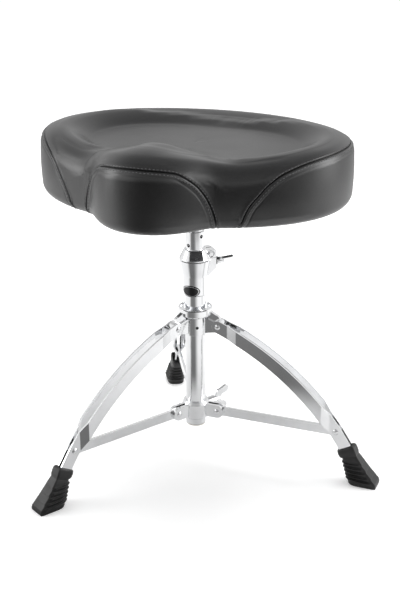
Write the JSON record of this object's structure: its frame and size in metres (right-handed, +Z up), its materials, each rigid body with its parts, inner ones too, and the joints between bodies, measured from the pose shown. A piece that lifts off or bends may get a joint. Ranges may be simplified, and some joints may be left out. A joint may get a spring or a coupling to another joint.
{
  "type": "drum throne",
  "caption": "Folding drum throne: saddle seat with padded nose on a height-adjustable post, clamped in a double-braced tripod with rubber feet.",
  "frame": {"origin": "on the floor, under the post's axis, at the centre of the three feet", "axes": "+Z up along the post; the seat's nose points to -Y; leg 1 points to +X"},
  "size_m": [0.4825, 0.482, 0.4893],
  "materials": {
    "chrome": "polished chrome plate",
    "nylon": "moulded nylon",
    "black_badge": "gloss black",
    "brass": "machined",
    "steel": "zinc plated",
    "wood": "bare plywood",
    "foam": "open-cell foam",
    "vinyl": "satin black vinyl with fine grain",
    "lining": "black non-woven cloth",
    "rubber": "matte black rubber"
  },
  "bodies": {
    "base": {"base_tube": "chrome", "tube_end_cap": "chrome", "clamp_housing": "chrome", "clamp_bushing": "nylon", "clamp_badge": "black_badge", "brake_shoe": "brass", "upper_collar": "chrome", "upper_collar_pin": "steel", "upper_leg_rivets": "chrome"},
    "height_clamp": {"height_wing_bolt": "chrome"},
    "post": {"height_post": "chrome", "post_guide_ring": "nylon", "post_spigot": "chrome"},
    "memory_lock": {"lock_fixed_half": "chrome", "lock_swing_half": "chrome", "lock_hinge_pin": "chrome"},
    "lock_bolt": {"lock_key_bolt": "chrome"},
    "seat": {"seat_bracket": "chrome", "bracket_screws": "steel", "board_tee_nuts": "steel", "seat_board": "wood", "seat_foam": "foam", "cover_top_panel": "vinyl", "cover_nose_panel": "vinyl", "cover_side_panel": "vinyl", "cover_base_panel": "lining"},
    "seat_clamp": {"seat_wing_bolt": "chrome"},
    "lower_collar": {"lower_collar": "chrome", "lower_collar_rivets": "chrome"},
    "fold_clamp": {"fold_wing_bolt": "chrome"},
    "leg_1": {"leg_1_strap_left": "chrome", "leg_1_strap_right": "chrome", "leg_1_foot": "rubber", "leg_1_rivet": "chrome"},
    "brace_1": {"brace_1": "chrome"},
    "leg_2": {"leg_2_strap_left": "chrome", "leg_2_strap_right": "chrome", "leg_2_foot": "rubber", "leg_2_rivet": "chrome"},
    "brace_2": {"brace_2": "chrome"},
    "leg_3": {"leg_3_strap_left": "chrome", "leg_3_strap_right": "chrome", "leg_3_foot": "rubber", "leg_3_rivet": "chrome"},
    "brace_3": {"brace_3": "chrome"}
  },
  "joints": [
    {"name": "leg_1_fold", "type": "hinge", "parent": "base", "child": "leg_1", "pos_m": [0.0357, 0, 0.2055], "axis": [0, 1, 0], "range_deg": [0, 47]},
    {"name": "leg_2_fold", "type": "hinge", "parent": "base", "child": "leg_2", "pos_m": [-0.01785, 0.03092, 0.2055], "axis": [-0.866, -0.5, 0], "range_deg": [0, 47.1]},
    {"name": "leg_3_fold", "type": "hinge", "parent": "base", "child": "leg_3", "pos_m": [-0.01785, -0.03092, 0.2055], "axis": [0.866, -0.5, 0], "range_deg": [0, 47.1]},
    {"name": "collar_slide", "type": "slide", "parent": "base", "child": "lower_collar", "axis": [0, 0, 1], "range_m": [0, 0.08821]},
    {"name": "brace_1_fold", "type": "hinge", "parent": "lower_collar", "child": "brace_1", "pos_m": [0.0344, 0, 0.074], "axis": [0, 1, 0], "range_deg": [0, 82.43]},
    {"name": "brace_2_fold", "type": "hinge", "parent": "lower_collar", "child": "brace_2", "pos_m": [-0.0172, 0.02979, 0.074], "axis": [-0.866, -0.5, 0], "range_deg": [0, 82.43]},
    {"name": "brace_3_fold", "type": "hinge", "parent": "lower_collar", "child": "brace_3", "pos_m": [-0.0172, -0.02979, 0.074], "axis": [0.866, -0.5, 0], "range_deg": [0, 82.43]},
    {"name": "fold_wing_bolt_turn", "type": "hinge", "parent": "lower_collar", "child": "fold_clamp", "pos_m": [0.0165, 0.02858, 0.074], "axis": [0.5, 0.866, 0], "continuous": true},
    {"name": "height_wing_bolt_turn", "type": "hinge", "parent": "base", "child": "height_clamp", "pos_m": [0.02252, 0.02027, 0.293], "axis": [0.7431, 0.6691, 0], "continuous": true},
    {"name": "height_slide", "type": "slide", "parent": "base", "child": "post", "axis": [0, 0, 1], "range_m": [0, 0.13]},
    {"name": "seat_swivel", "type": "hinge", "parent": "post", "child": "seat", "pos_m": [0, 0, 0.362], "axis": [0, 0, 1], "continuous": true},
    {"name": "seat_wing_bolt_turn", "type": "hinge", "parent": "seat", "child": "seat_clamp", "pos_m": [0, 0.027, 0.362], "axis": [0, 1, 0], "continuous": true},
    {"name": "lock_slide", "type": "slide", "parent": "base", "child": "memory_lock", "axis": [0, 0, 1], "range_m": [0, 0.028]},
    {"name": "lock_bolt_turn", "type": "hinge", "parent": "memory_lock", "child": "lock_bolt", "pos_m": [0.01379, 0.01379, 0.3068], "axis": [0.7071, -0.7071, 0], "continuous": true}
  ],
  "couplings": [
    {"joint": "leg_2_fold", "follows": "leg_1_fold", "ratio": 1},
    {"joint": "leg_3_fold", "follows": "leg_1_fold", "ratio": 1},
    {"joint": "collar_slide", "follows": "leg_1_fold", "m_per_rad": 0.10741},
    {"joint": "brace_1_fold", "follows": "leg_1_fold", "ratio": 1.7516},
    {"joint": "brace_2_fold", "follows": "leg_1_fold", "ratio": 1.7516},
    {"joint": "brace_3_fold", "follows": "leg_1_fold", "ratio": 1.7516}
  ]
}
